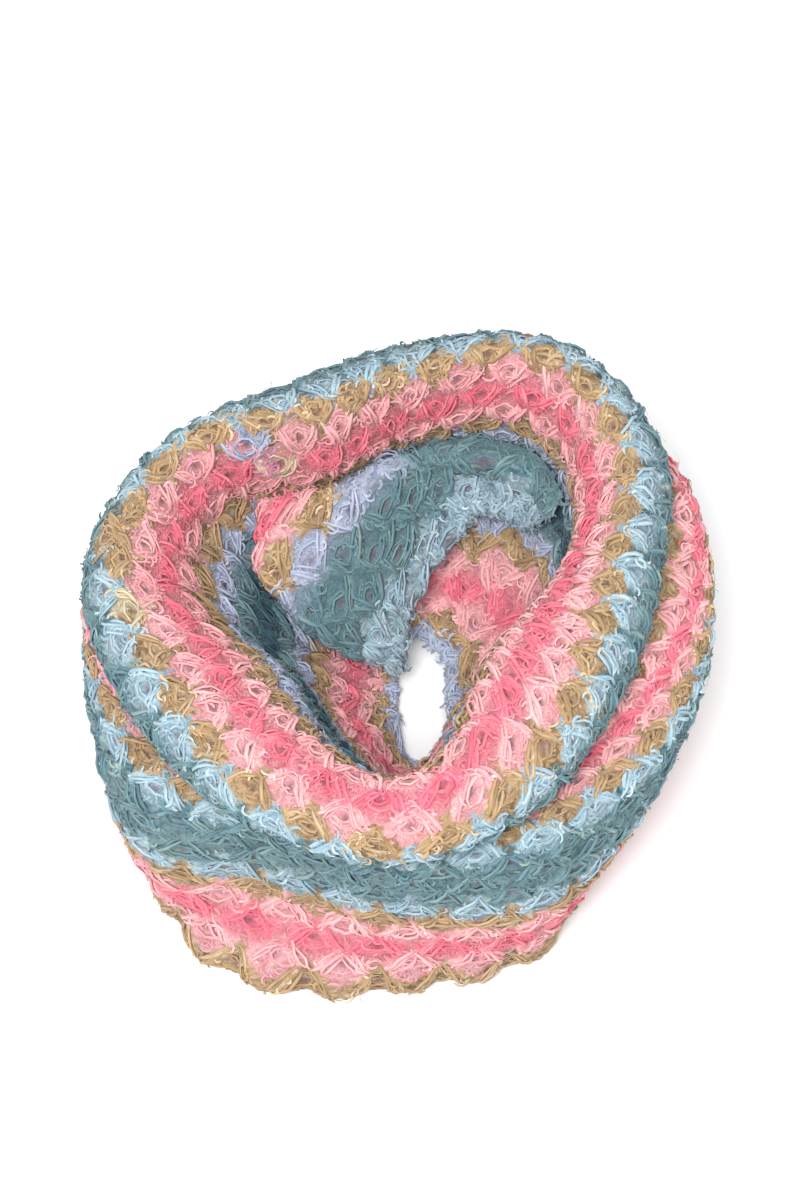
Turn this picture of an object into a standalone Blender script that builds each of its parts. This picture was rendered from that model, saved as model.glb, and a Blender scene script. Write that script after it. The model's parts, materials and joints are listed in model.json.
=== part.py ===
"""A crochet neck warmer: one tube of cloth, set down on a table with its top rolled outwards.

The tube is followed from its outer hem to its inner hem, counted in rounds of crochet. It
stands up from the outer hem as a wall, tucks in under the rolled collar, goes over the collar
and runs down the inside as a funnel, to an inner hem that leaves a slit of the table open.
At the back the slack of the funnel lies over it as one big lapped fold.

Tables are in millimetres and degrees. Azimuth 0 is the front (-Y), 90 is +X. A section's
points are given as reach, out from the axis, and height above the table.
"""

import bpy
import numpy as np
from mathutils import Matrix, Vector

MM = 0.001

# Driving sizes
CLOTH_THICKNESS = 3.0
SEAM_GAP = 0.3
SHELLS_AROUND = 30
AXIS_X = 10.0
AXIS_Y = 5.0

# Rounds of crochet, counted from the outer hem, where the stretches of the tube meet
WALL_END = 16.8
COLLAR_END = 28.0
TUBE_END = 36.0

# Scallops that the shell stitches make at the outer hem, which stands straight on the table
SCALLOP_DEPTH = 2.0
SCALLOP_ROUNDS = 2.4
HEM_STAND = 0.3
HEM_RISE = 7.0

# Rounds at which each stretch of the tube has a row of mesh, closer together in the tight turns
WALL_ROWS = (0, 0.25, 1.2, 2.4, 4.2, 6.2, 8.2, 9.4, 10.8, 12.3, 13.2, 14.0, 15.0, 15.6,
             16.1, 16.6, WALL_END)
COLLAR_ROWS = (WALL_END, 17.0, 17.5, 18.0, 18.6, 19.3, 20.2, 21.2, 22.2, 23.2, 24.2, 25.2,
               26.4, 27.4, COLLAR_END)
FUNNEL_ROWS = (COLLAR_END, 28.8, 30.0, 31.2, 32.4, 33.6, 34.8, TUBE_END)
WALL_COLUMNS = 3 * SHELLS_AROUND
FUNNEL_COLUMNS = 2 * SHELLS_AROUND
FOLD_COLUMNS = 22
FOLD_ROWS = 14

# One section of the tube in a row, from the front round to the right. hem and foot stand on
# the table; the other stations are a reach and a height each.
STATIONS = ("hem", "waist", "belly", "tuck", "under", "edge", "crest", "brow", "throat",
            "bend", "foot")
STATION_ROUND = {"hem": 0.0, "waist": 4.5, "belly": 9.0, "tuck": 13.2, "under": 16.0,
                 "edge": 18.0, "crest": 20.3, "brow": 23.6, "throat": 26.6, "bend": 31.0,
                 "foot": 36.0}
SECTIONS = (
    # azimuth  hem       waist      belly      tuck       under      edge
    #          crest     brow       throat     bend       foot
    (0, (126, 0), (118, 43), (118, 87), (94, 91), (104, 100), (121, 103),
     (126, 112), (102, 119), (87, 90), (60, 42), (29, 3.5)),
    (25, (121, 0), (124, 42), (120, 87), (98, 91), (96, 99), (111, 104),
     (106, 117), (66, 114), (57, 89), (41, 44), (27, 3.5)),
    (45, (97, 0), (116, 43), (119, 87), (97, 91), (86, 99), (99, 106),
     (90, 119), (53, 111), (47, 85), (35, 43), (22, 3.5)),
    (70, (76, 0), (104, 42), (117, 84), (101, 91), (82, 98), (93, 106),
     (79, 121), (52, 105), (50, 79), (37, 41), (18, 3.5)),
    (95, (70, 0), (98, 40), (116, 79), (110, 90), (84, 98), (97, 106),
     (82, 121), (62, 99), (60, 73), (45, 37), (17, 3.5)),
    (120, (86, 0), (103, 38), (117, 75), (119, 88), (98, 98), (113, 106),
     (97, 120), (80, 97), (77, 72), (62, 34), (19, 3.5)),
    (150, (104, 0), (107, 38), (113, 71), (115, 88), (105, 98), (120, 107),
     (107, 121), (95, 94), (94, 68), (66, 30), (28, 3.5)),
    (180, (104, 0), (106, 38), (108, 70), (105, 87), (91, 98), (104, 108),
     (84, 121), (78, 92), (83, 66), (62, 28), (33, 3.5)),
    (210, (108, 0), (106, 38), (106, 70), (102, 86), (87, 97), (98, 107),
     (77, 121), (68, 93), (74, 68), (58, 28), (14, 3.5)),
    (240, (117, 0), (116, 37), (115, 72), (114, 86), (105, 93), (115, 101),
     (104, 114), (93, 93), (90, 66), (58, 28), (8, 3.5)),
    (270, (110, 0), (118, 38), (124, 76), (124, 88), (113, 94), (125, 100),
     (113, 114), (94, 97), (77, 70), (44, 30), (7, 3.5)),
    (295, (118, 0), (129, 41), (130, 83), (112, 90), (104, 97), (121, 101),
     (108, 114), (79, 99), (59, 75), (40, 33), (8, 3.5)),
    (312, (131, 0), (137, 42), (133, 87), (102, 91), (103, 99), (121, 102),
     (111, 115), (79, 103), (58, 75), (41, 35), (9, 3.5)),
    (330, (139, 0), (116, 38), (117, 87), (96, 91), (105, 100), (123, 102),
     (119, 114), (86, 107), (66, 75), (46, 36), (12, 3.5)),
)

# The lapped fold, rib by rib from its right end to its left edge. top is the azimuth at which
# a rib is tucked under the collar, and the other stations are x, y and height.
FOLD_TOP_ROUND = 25.7
FOLD_ROLL = 5.0
FOLD_LIFT = CLOTH_THICKNESS + 4 * SEAM_GAP
FOLD_STATIONS = ("top", "shoulder", "middle", "low", "lip")
FOLD_RIBS = (
    # top  shoulder       middle         low            lip
    (130, (67, 53, 72), (65, 55, 67), (62, 57, 61), (59, 59, 56)),
    (146, (59, 70, 72), (57, 69, 67), (53, 68, 61), (49, 66, 55)),
    (165, (28, 80, 76), (32, 77, 69), (36, 73, 62), (38, 68, 54)),
    (184, (9, 78, 77), (14, 71, 66), (18, 63, 53), (20, 54, 40)),
    (201, (-12, 64, 77), (-3, 54, 62), (3, 43, 46), (8, 33, 31)),
    (213, (-31, 53, 75), (-21, 42, 61), (-8, 31, 43), (6, 24, 27)),
    (224, (-48, 37, 65), (-38, 28, 54), (-23, 18, 41), (4, 16, 23)),
)

# Yarn colours, linear
TEAL = (0.115, 0.288, 0.328)
DEEP_TEAL = (0.078, 0.205, 0.240)
ROSE = (0.905, 0.280, 0.320)
PALE_PINK = (0.905, 0.500, 0.520)
TUBE_NODES = (
    # name            rows         columns       joined below and above   colour
    ("outer_wall", WALL_ROWS, WALL_COLUMNS, False, True, TEAL),
    ("rolled_collar", COLLAR_ROWS, WALL_COLUMNS, True, True, PALE_PINK),
    ("inner_funnel", FUNNEL_ROWS, FUNNEL_COLUMNS, True, False, ROSE),
)


def along(knots, values, place, first_slope=None):
    """A smooth curve through values at knots; values may hold an array at each knot."""
    values = values.reshape(values.shape + (1,) * (place.ndim + 1 - values.ndim))
    values = np.broadcast_to(values, (len(knots),) + place.shape)
    spans = np.gradient(knots).reshape((-1,) + (1,) * place.ndim)
    slopes = np.gradient(values, axis=0) / spans
    if first_slope is not None:
        slopes[0] = first_slope
    index = np.clip(np.searchsorted(knots, place, side="right") - 1, 0, len(knots) - 2)
    span = knots[index + 1] - knots[index]
    part = (place - knots[index]) / span
    low, high = (np.take_along_axis(values, (index + i)[None], 0)[0] for i in (0, 1))
    leave, arrive = (np.take_along_axis(slopes, (index + i)[None], 0)[0] * span for i in (0, 1))
    return ((1 + 2 * part) * (1 - part) ** 2 * low + part * (1 - part) ** 2 * leave
            + part ** 2 * (3 - 2 * part) * high - part ** 2 * (1 - part) * arrive)


def around(values, azimuth):
    """Values given once for each section, read smoothly at any azimuth."""
    turns = np.array([section[0] for section in SECTIONS], float)
    knots = np.concatenate([turns[-2:] - 360, turns, turns[:2] + 360])
    return along(knots, np.concatenate([values[-2:], values, values[:2]]), azimuth % 360)


def tube(azimuth, rounds):
    """Points of the tube's middle layer, in millimetres, for arrays of one shape."""
    azimuth, rounds = np.broadcast_arrays(np.asarray(azimuth, float),
                                          np.asarray(rounds, float))
    knots = np.array([STATION_ROUND[name] for name in STATIONS])
    at_station = np.array([[around(np.array([section[i][axis] for section in SECTIONS]), azimuth)
                            for i in range(1, len(STATIONS) + 1)] for axis in (0, 1)])
    sway = np.clip(rounds - HEM_STAND * np.clip(1 - rounds / STATION_ROUND["waist"], 0, 1), 0, None)
    reach = along(knots, at_station[0], sway, first_slope=0.0)
    height = along(knots, at_station[1], rounds, first_slope=HEM_RISE)
    fade = np.clip(1 - sway / SCALLOP_ROUNDS, 0, 1) ** 2 * (1 + 2 * sway / SCALLOP_ROUNDS)
    turn = np.radians(azimuth)
    reach = reach + SCALLOP_DEPTH * np.cos(SHELLS_AROUND * turn) * fade
    return np.stack([AXIS_X + reach * np.sin(turn), AXIS_Y - reach * np.cos(turn), height], -1)


def outward(surface, first, second, step=0.05):
    """Unit normals of a surface of two parameters."""
    across = surface(first + step, second) - surface(first - step, second)
    down = surface(first, second + step) - surface(first, second - step)
    normal = np.cross(across, down)
    return normal / np.linalg.norm(normal, axis=-1, keepdims=True)


def fold_net():
    """The fold's net: a row of points for each station of its ribs, rolled margins included."""
    tops = np.array([rib[0] for rib in FOLD_RIBS], float)
    rounds = np.full(len(tops), FOLD_TOP_ROUND)
    net = [tube(tops, rounds) + FOLD_LIFT * outward(tube, tops, rounds)]
    for station in range(1, len(FOLD_STATIONS)):
        net.append(np.array([rib[station] for rib in FOLD_RIBS], float))
    back = net[-2] - net[-1]
    back /= np.linalg.norm(back, axis=-1, keepdims=True)
    net.append(net[-1] + FOLD_ROLL * (0.4 * back - [0, 0, 1.0]))
    net = np.array(net)
    side = net[:, -1] - net[:, -2]
    side /= np.linalg.norm(side, axis=-1, keepdims=True)
    rolled = net[:, -1] + FOLD_ROLL * (0.3 * side - [0, 0, 1.0])
    return np.concatenate([net, rolled[:, None]], axis=1)


def fold(across, down):
    """Points of the lapped fold; across runs 0 to 1 from its right end, down 0 to 1."""
    net = fold_net()
    rows, ribs = net.shape[:2]
    across, down = np.broadcast_arrays(across, down)
    points = []
    for axis in range(3):
        lines = np.array([along(np.arange(float(ribs)), net[row, :, axis], across * (ribs - 1))
                          for row in range(rows)])
        points.append(along(np.arange(float(rows)), lines, down * (rows - 1)))
    return np.stack(points, -1)


def seam_rows(rows, azimuth, lower_gap, upper_gap):
    """Rounds of a stretch's rows at each azimuth, half a seam gap short at its joined ends."""
    rounds = np.array(rows, float)[:, None] + 0 * azimuth
    for end, joined, sign in ((0, lower_gap, 1), (-1, upper_gap, -1)):
        if joined:
            step = 0.05
            rise = tube(azimuth, rounds[end] + step) - tube(azimuth, rounds[end] - step)
            pace = np.linalg.norm(rise, axis=-1) / (2 * step)
            rounds[end] += sign * SEAM_GAP / 2 / pace
    return rounds


def cloth_object(name, points, closed, colour, collection):
    """A wall of cloth: a grid of middle-layer points, thickened both ways by Solidify."""
    rows, columns = points.shape[:2]
    faces = [(i * columns + j, i * columns + (j + 1) % columns,
              (i + 1) * columns + (j + 1) % columns, (i + 1) * columns + j)
             for i in range(rows - 1) for j in range(columns if closed else columns - 1)]
    mesh = bpy.data.meshes.new(name)
    mesh.from_pydata((points.reshape(-1, 3) * MM).tolist(), [], faces)
    mesh.polygons.foreach_set("use_smooth", [True] * len(faces))
    material = bpy.data.materials.new(name)
    material.use_nodes = True
    shader = material.node_tree.nodes["Principled BSDF"]
    shader.inputs["Base Color"].default_value = (*colour, 1.0)
    shader.inputs["Roughness"].default_value = 0.9
    mesh.materials.append(material)
    item = bpy.data.objects.new(name, mesh)
    collection.objects.link(item)
    wall = item.modifiers.new("cloth", "SOLIDIFY")
    wall.thickness = CLOTH_THICKNESS * MM
    wall.offset = 0.0
    wall.use_even_offset = True
    return item


def centre_on_base(items):
    """Move the meshes so that the origin is the centre of their base."""
    bpy.context.view_layer.update()
    graph = bpy.context.evaluated_depsgraph_get()
    corners = np.array([corner[:] for item in items
                        for corner in item.evaluated_get(graph).bound_box])
    low, high = corners.min(axis=0), corners.max(axis=0)
    shift = Vector(((low[0] + high[0]) / -2, (low[1] + high[1]) / -2, -low[2]))
    for item in items:
        item.data.transform(Matrix.Translation(shift))
    print("origin moved by", [round(value / MM, 3) for value in shift], "mm")


def main():
    for item in list(bpy.data.objects):
        bpy.data.objects.remove(item, do_unlink=True)
    collection = bpy.data.collections.new("crochet_neck_warmer")
    bpy.context.scene.collection.children.link(collection)
    items = []
    for name, rows, columns, lower_gap, upper_gap, colour in TUBE_NODES:
        azimuth = np.arange(columns) * 360.0 / columns
        rounds = seam_rows(rows, azimuth, lower_gap, upper_gap)
        items.append(cloth_object(name, tube(azimuth[None, :], rounds), True, colour,
                                  collection))
    across, down = np.meshgrid(np.linspace(0, 1, FOLD_COLUMNS), np.linspace(0, 1, FOLD_ROWS))
    items.append(cloth_object("lapped_fold", fold(across, down), False, DEEP_TEAL, collection))
    centre_on_base(items)


main()
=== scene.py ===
# %% [markdown]
# # A crochet neck warmer, slumped on a table
# The real object is one tube of crochet, about 660 mm round and 390 mm long. It stands on its
# outer hem, its top is rolled outwards into a collar, and the rest of it runs down the inside
# as a funnel. At the back the slack of the funnel lies over it as one big fold.
#
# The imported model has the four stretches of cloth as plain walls. This lesson lays crochet
# stitches over the same surfaces. They could be placed by eye over the walls, but the frame
# gives every place exactly, so the first step is to load that model as a fixed frame.

# %% Load the frame
import json
import math

import bpy
import numpy as np
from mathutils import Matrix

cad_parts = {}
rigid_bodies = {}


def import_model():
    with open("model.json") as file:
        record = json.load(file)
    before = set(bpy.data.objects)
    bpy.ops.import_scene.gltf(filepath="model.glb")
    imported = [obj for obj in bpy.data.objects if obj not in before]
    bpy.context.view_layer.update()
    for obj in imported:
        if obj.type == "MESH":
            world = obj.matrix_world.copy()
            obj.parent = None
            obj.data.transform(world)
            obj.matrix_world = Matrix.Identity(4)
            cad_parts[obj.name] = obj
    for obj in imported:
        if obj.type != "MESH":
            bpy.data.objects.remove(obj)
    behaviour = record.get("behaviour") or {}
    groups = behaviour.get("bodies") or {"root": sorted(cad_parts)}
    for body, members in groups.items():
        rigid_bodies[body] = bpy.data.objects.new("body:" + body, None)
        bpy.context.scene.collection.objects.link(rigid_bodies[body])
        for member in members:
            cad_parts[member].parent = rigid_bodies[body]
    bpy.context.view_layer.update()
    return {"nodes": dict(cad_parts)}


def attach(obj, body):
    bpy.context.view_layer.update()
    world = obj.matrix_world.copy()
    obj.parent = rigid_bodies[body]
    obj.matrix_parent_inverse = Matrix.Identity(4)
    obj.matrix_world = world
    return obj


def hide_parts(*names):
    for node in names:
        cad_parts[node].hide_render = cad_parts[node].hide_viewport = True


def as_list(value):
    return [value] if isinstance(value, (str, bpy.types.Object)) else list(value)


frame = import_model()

print("nodes in the frame:", sorted(frame["nodes"]))

# %% [markdown]
# ## Sizes of the real cloth
# A shell stitch is a little fan of tall posts that all grow out of one point. Thirty fans go
# round the tube, and thirty-six rounds of them go from the outer hem to the inner one. The
# stitches could be spaced by a fraction of the whole, but a maker counts them, and so does
# this lesson. All lengths here are in millimetres, and angles are in degrees from the front.

# %% Sizes
MM = 0.001
FANS_AROUND = 30
FAN_WIDTH_FLAT = 22.0
ROUND_HEIGHT = 10.8
# The rounds at which the wall ends under the collar, the collar ends, and the tube ends.
WALL_END = 16.8
COLLAR_END = 28.0
TUBE_END = 36.0
# The outer hem swings in and out by this much, and that dies away over so many rounds.
SCALLOP_DEPTH = 2.0
SCALLOP_ROUNDS = 2.4
# The hem stands upright for this part of a round, and at first climbs so many mm a round.
HEM_STAND = 0.3
HEM_RISE = 7.0
# The tube's own axis, and the step from the surface's origin to the frame's.
AXIS_X = 10.0
AXIS_Y = 5.0
ORIGIN_SHIFT = np.array([-5.533, 5.758, 0.0])
rng = np.random.default_rng(36)
print("flat tube:", FANS_AROUND * FAN_WIDTH_FLAT, "mm round,",
      round(TUBE_END * ROUND_HEIGHT), "mm long")

# %% [markdown]
# ## The surface that the yarn follows
# Each row of this table is one cut through the tube at an azimuth. It gives eleven stations on
# the way from the outer hem to the inner hem, as the reach out from the axis and the height. A
# smooth curve through the stations, and round through the rows, gives the surface. A simulated
# cloth would slump in its own way each time. A table keeps the slump that the real one has.

# %% Sections of the tube
STATION_ROUND = {"hem": 0.0, "waist": 4.5, "belly": 9.0, "tuck": 13.2, "under": 16.0,
                 "edge": 18.0, "crest": 20.3, "brow": 23.6, "throat": 26.6, "bend": 31.0,
                 "foot": 36.0}
SECTIONS = (
    # azimuth  hem       waist      belly      tuck       under      edge
    #          crest     brow       throat     bend       foot
    (0, (126, 0), (118, 43), (118, 87), (94, 91), (104, 100), (121, 103),
     (126, 112), (102, 119), (87, 90), (60, 42), (29, 3.5)),
    (25, (121, 0), (124, 42), (120, 87), (98, 91), (96, 99), (111, 104),
     (106, 117), (66, 114), (57, 89), (41, 44), (27, 3.5)),
    (45, (97, 0), (116, 43), (119, 87), (97, 91), (86, 99), (99, 106),
     (90, 119), (53, 111), (47, 85), (35, 43), (22, 3.5)),
    (70, (76, 0), (104, 42), (117, 84), (101, 91), (82, 98), (93, 106),
     (79, 121), (52, 105), (50, 79), (37, 41), (18, 3.5)),
    (95, (70, 0), (98, 40), (116, 79), (110, 90), (84, 98), (97, 106),
     (82, 121), (62, 99), (60, 73), (45, 37), (17, 3.5)),
    (120, (86, 0), (103, 38), (117, 75), (119, 88), (98, 98), (113, 106),
     (97, 120), (80, 97), (77, 72), (62, 34), (19, 3.5)),
    (150, (104, 0), (107, 38), (113, 71), (115, 88), (105, 98), (120, 107),
     (107, 121), (95, 94), (94, 68), (66, 30), (28, 3.5)),
    (180, (104, 0), (106, 38), (108, 70), (105, 87), (91, 98), (104, 108),
     (84, 121), (78, 92), (83, 66), (62, 28), (33, 3.5)),
    (210, (108, 0), (106, 38), (106, 70), (102, 86), (87, 97), (98, 107),
     (77, 121), (68, 93), (74, 68), (58, 28), (14, 3.5)),
    (240, (117, 0), (116, 37), (115, 72), (114, 86), (105, 93), (115, 101),
     (104, 114), (93, 93), (90, 66), (58, 28), (8, 3.5)),
    (270, (110, 0), (118, 38), (124, 76), (124, 88), (113, 94), (125, 100),
     (113, 114), (94, 97), (77, 70), (44, 30), (7, 3.5)),
    (295, (118, 0), (129, 41), (130, 83), (112, 90), (104, 97), (121, 101),
     (108, 114), (79, 99), (59, 75), (40, 33), (8, 3.5)),
    (312, (131, 0), (137, 42), (133, 87), (102, 91), (103, 99), (121, 102),
     (111, 115), (79, 103), (58, 75), (41, 35), (9, 3.5)),
    (330, (139, 0), (116, 38), (117, 87), (96, 91), (105, 100), (123, 102),
     (119, 114), (86, 107), (66, 75), (46, 36), (12, 3.5)),
)
print(len(SECTIONS), "sections of", len(STATION_ROUND), "stations")

# %% Directions and lengths


def unit(vectors):
    """Vectors of length one."""
    return vectors / np.maximum(np.linalg.norm(vectors, axis=-1, keepdims=True), 1e-9)


def run_along(lines):
    """How far along its own line each point lies."""
    steps = np.linalg.norm(np.diff(lines, axis=-2), axis=-1)
    return np.concatenate([np.zeros(steps.shape[:-1] + (1,)), np.cumsum(steps, axis=-1)], -1)


print("round a square:", run_along(np.array([(0, 0), (1, 0), (1, 1), (0, 1)])))

# %% Smooth curves through the stations


def along(knots, values, place, first_slope=None):
    """A smooth curve through values at knots; values may hold an array at each knot."""
    values = values.reshape(values.shape + (1,) * (place.ndim + 1 - values.ndim))
    values = np.broadcast_to(values, (len(knots),) + place.shape)
    spans = np.gradient(knots).reshape((-1,) + (1,) * place.ndim)
    slopes = np.gradient(values, axis=0) / spans
    if first_slope is not None:
        slopes[0] = first_slope
    index = np.clip(np.searchsorted(knots, place, side="right") - 1, 0, len(knots) - 2)
    span = knots[index + 1] - knots[index]
    part = (place - knots[index]) / span
    low, high = (np.take_along_axis(values, (index + i)[None], 0)[0] for i in (0, 1))
    leave, arrive = (np.take_along_axis(slopes, (index + i)[None], 0)[0] * span for i in (0, 1))
    return ((1 + 2 * part) * (1 - part) ** 2 * low + part * (1 - part) ** 2 * leave
            + part ** 2 * (3 - 2 * part) * high - part ** 2 * (1 - part) * arrive)


def around(values, azimuth):
    """Values given once for each section, read smoothly at any azimuth."""
    turns = np.array([section[0] for section in SECTIONS], float)
    knots = np.concatenate([turns[-2:] - 360, turns, turns[:2] + 360])
    return along(knots, np.concatenate([values[-2:], values, values[:2]]), azimuth % 360)


def tube(azimuth, rounds):
    """Points of the tube's middle layer, in millimetres from the axis's own origin."""
    azimuth, rounds = np.broadcast_arrays(np.asarray(azimuth, float),
                                          np.asarray(rounds, float))
    knots = np.array(list(STATION_ROUND.values()))
    at_station = np.array([[around(np.array([section[i][axis] for section in SECTIONS]), azimuth)
                            for i in range(1, len(knots) + 1)] for axis in (0, 1)])
    sway = np.clip(rounds - HEM_STAND * np.clip(1 - rounds / STATION_ROUND["waist"], 0, 1), 0, None)
    reach = along(knots, at_station[0], sway, first_slope=0.0)
    height = along(knots, at_station[1], rounds, first_slope=HEM_RISE)
    fade = np.clip(1 - sway / SCALLOP_ROUNDS, 0, 1) ** 2 * (1 + 2 * sway / SCALLOP_ROUNDS)
    turn = np.radians(azimuth)
    reach = reach + SCALLOP_DEPTH * np.cos(FANS_AROUND * turn) * fade
    return np.stack([AXIS_X + reach * np.sin(turn), AXIS_Y - reach * np.cos(turn), height], -1)


# Degrees and rounds over which the surface's slope is taken.
SLOPE_STEP = 0.05


def facing(surface, first, second, first_step=SLOPE_STEP, second_step=SLOPE_STEP):
    """Unit normals of a surface of two parameters, on the side that shows."""
    across = surface(first + first_step, second) - surface(first - first_step, second)
    down = surface(first, second + second_step) - surface(first, second - second_step)
    return unit(np.cross(across, down))


print("crest at the front:", tube(0.0, 20.3).round(1), "mm")

# %% [markdown]
# ## Rounds that lie off their place
# Real cloth is pulled about, so a round doesn't lie at the same place all the way round. The
# first round is stretched at the hem, and at the left the collar's rounds reach deeper into the
# funnel than at the front. Moving the surface itself would spoil its fit with the walls. So this
# table gives, for some azimuths, how far a few rounds lie from where even cloth would put them,
# and the stitches are laid by their own numbers through it.

# %% Shifts of the rounds
CLOSING_STEPS = 8
SHIFT_ROUNDS = (0, 1, 4, 5, 21, 25, 28, 31, 34, 36)
SHIFTS = (
    # azimuth  0  1    4    5  21  25   28   31    34   36
    (0, 0, 0.5, 0.2, 0, 0, 0.0, 0.0, 0.0, 0.0, 0),
    (60, 0, 0.5, 0.2, 0, 0, 0.0, -0.5, -1.5, 0.0, 0),
    (90, 0, 0.5, 0.2, 0, 0, 0.0, -0.8, -2.0, 0.0, 0),
    (120, 0, 0.5, 0.2, 0, 0, 0.0, 0.0, -0.8, 0.6, 0),
    (150, 0, 0.5, 0.2, 0, 0, 0.0, 0.0, 0.0, 0.5, 0),
    (200, 0, 0.5, 0.2, 0, 0, 1.0, 1.0, 1.0, 0.8, 0),
    (250, 0, 0.5, 0.2, 0, 0, 2.3, 2.4, 1.9, 1.5, 0),
    (280, 0, 0.5, 0.2, 0, 0, 1.3, 1.2, 1.0, 0.8, 0),
    (305, 0, 0.5, 0.2, 0, 0, 0.0, 0.0, 0.0, 0.0, 0),
)


def shift(azimuth, number):
    """How far a round lies from its even place, in rounds, at an azimuth."""
    turns = np.array([row[0] for row in SHIFTS], float)
    total = np.zeros(np.broadcast(azimuth, number).shape)
    for index in range(len(SHIFT_ROUNDS)):
        here = np.interp(azimuth, turns, [row[index + 1] for row in SHIFTS], period=360)
        share = np.interp(number, SHIFT_ROUNDS, np.eye(len(SHIFT_ROUNDS))[index])
        total += here * share
    return total


def cloth(azimuth, number):
    """The tube by the numbers of its rounds, which may be pulled off their even place."""
    azimuth, number = np.broadcast_arrays(np.asarray(azimuth, float), np.asarray(number, float))
    return tube(azimuth, number + shift(azimuth, number))


def number_at(azimuth, rounds):
    """The number of the round that lies at a place on the tube, closed in on step by step."""
    number = np.array(rounds, float)
    for _ in range(CLOSING_STEPS):
        number = rounds - shift(azimuth, number)
    return number


print("round 31 at the right lies at", 31 + shift(np.array(90.0), np.array(31.0)))

# %% [markdown]
# ## The lapped fold
# The slack of the funnel lies over it at the back as one flap of cloth. Its table has a rib for
# each of seven places from its right end to its left edge, each with stations from under the
# collar down to the lip. The stitches need to know which round lies where on it. Even steps
# would stretch them where the cloth is long, so the length along each rib is measured back
# from the lip.

# %% Ribs of the fold
# Where the fold leaves the collar and how far off it, how far its edges roll under, and how much
# they lean back (or outwards, below zero) as they do. The last is the round at its lip.
FOLD_TOP_ROUND = 25.7
FOLD_LIFT = 4.2
FOLD_ROLL = 5.0
LIP_LEAN, SIDE_LEAN = 0.4, -0.3
FOLD_LIP_ROUND = 40.6
FOLD_STATIONS = ("top", "shoulder", "middle", "low", "lip")
FOLD_RIBS = (
    # top  shoulder       middle         low            lip
    (130, (67, 53, 72), (65, 55, 67), (62, 57, 61), (59, 59, 56)),
    (146, (59, 70, 72), (57, 69, 67), (53, 68, 61), (49, 66, 55)),
    (165, (28, 80, 76), (32, 77, 69), (36, 73, 62), (38, 68, 54)),
    (184, (9, 78, 77), (14, 71, 66), (18, 63, 53), (20, 54, 40)),
    (201, (-12, 64, 77), (-3, 54, 62), (3, 43, 46), (8, 33, 31)),
    (213, (-31, 53, 75), (-21, 42, 61), (-8, 31, 43), (6, 24, 27)),
    (224, (-48, 37, 65), (-38, 28, 54), (-23, 18, 41), (4, 16, 23)),
)


def roll_under(edge, inner, lean):
    """Points of a margin that drops from an edge and leans towards the points inside it."""
    return edge + FOLD_ROLL * (lean * unit(inner - edge) - [0, 0, 1.0])


def fold_net():
    """The fold's net: a row of points for each station of its ribs, rolled margins included."""
    tops = np.array([rib[0] for rib in FOLD_RIBS], float)
    rounds = np.full(len(tops), FOLD_TOP_ROUND)
    net = [tube(tops, rounds) + FOLD_LIFT * facing(tube, tops, rounds)]
    for station in range(1, len(FOLD_STATIONS)):
        net.append(np.array([rib[station] for rib in FOLD_RIBS], float))
    net.append(roll_under(net[-1], net[-2], LIP_LEAN))
    net = np.array(net)
    rolled = roll_under(net[:, -1], net[:, -2], SIDE_LEAN)
    return np.concatenate([net, rolled[:, None]], axis=1)


FOLD_NET = fold_net()
print("fold net:", FOLD_NET.shape[0], "rows of", FOLD_NET.shape[1], "points")

# %% The fold's surface


def fold(across, down):
    """Points of the lapped fold; across runs 0 to 1 from its right end, down 0 to 1."""
    rows, ribs = FOLD_NET.shape[:2]
    across, down = np.broadcast_arrays(across, down)
    points = []
    for axis in range(3):
        lines = np.array([along(np.arange(float(ribs)), FOLD_NET[row, :, axis],
                                across * (ribs - 1)) for row in range(rows)])
        points.append(along(np.arange(float(rows)), lines, down * (rows - 1)))
    return np.stack(points, -1)


print("middle of the lip:", fold(0.5, 0.8).round(1), "mm")

# %% Rounds on the fold


def fold_round_table(columns=61, steps=121):
    """The round at each step down the fold, for evenly spaced columns across it."""
    line = fold(np.linspace(0, 1, columns)[:, None], np.linspace(0, 1, steps)[None])
    run = run_along(line)
    lip = (len(FOLD_STATIONS) - 1) / len(FOLD_STATIONS)
    lip_run = run[:, round(lip * (steps - 1))]
    return FOLD_LIP_ROUND + (run - lip_run[:, None]) / ROUND_HEIGHT


FOLD_ROUNDS = fold_round_table()
FIRST_FOLD_ROUND, LAST_FOLD_ROUND, FOLD_ROUND_STEP = 30.0, 41.4, 0.1
FOLD_SCALE = np.arange(FIRST_FOLD_ROUND, LAST_FOLD_ROUND, FOLD_ROUND_STEP)
FOLD_DOWN = np.array([np.interp(FOLD_SCALE, column, np.linspace(0, 1, FOLD_ROUNDS.shape[1]))
                      for column in FOLD_ROUNDS])


def fold_by_round(across, rounds):
    """Points of the fold at a place across it and a round of crochet."""
    across, rounds = np.broadcast_arrays(np.asarray(across, float), np.asarray(rounds, float))
    column = np.clip(across, 0, 1) * (FOLD_DOWN.shape[0] - 1)
    row = np.clip((rounds - FIRST_FOLD_ROUND) / FOLD_ROUND_STEP, 0,
                  FOLD_DOWN.shape[1] - 1.001)
    left = np.clip(column.astype(int), 0, FOLD_DOWN.shape[0] - 2)
    top = row.astype(int)
    x, y = column - left, row - top
    upper = FOLD_DOWN[left, top] * (1 - x) + FOLD_DOWN[left + 1, top] * x
    lower = FOLD_DOWN[left, top + 1] * (1 - x) + FOLD_DOWN[left + 1, top + 1] * x
    return fold(np.clip(across, 0, 1), upper * (1 - y) + lower * y)


print("rounds on the fold's left edge:", FOLD_ROUNDS[-1, [0, -1]].round(1))

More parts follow.
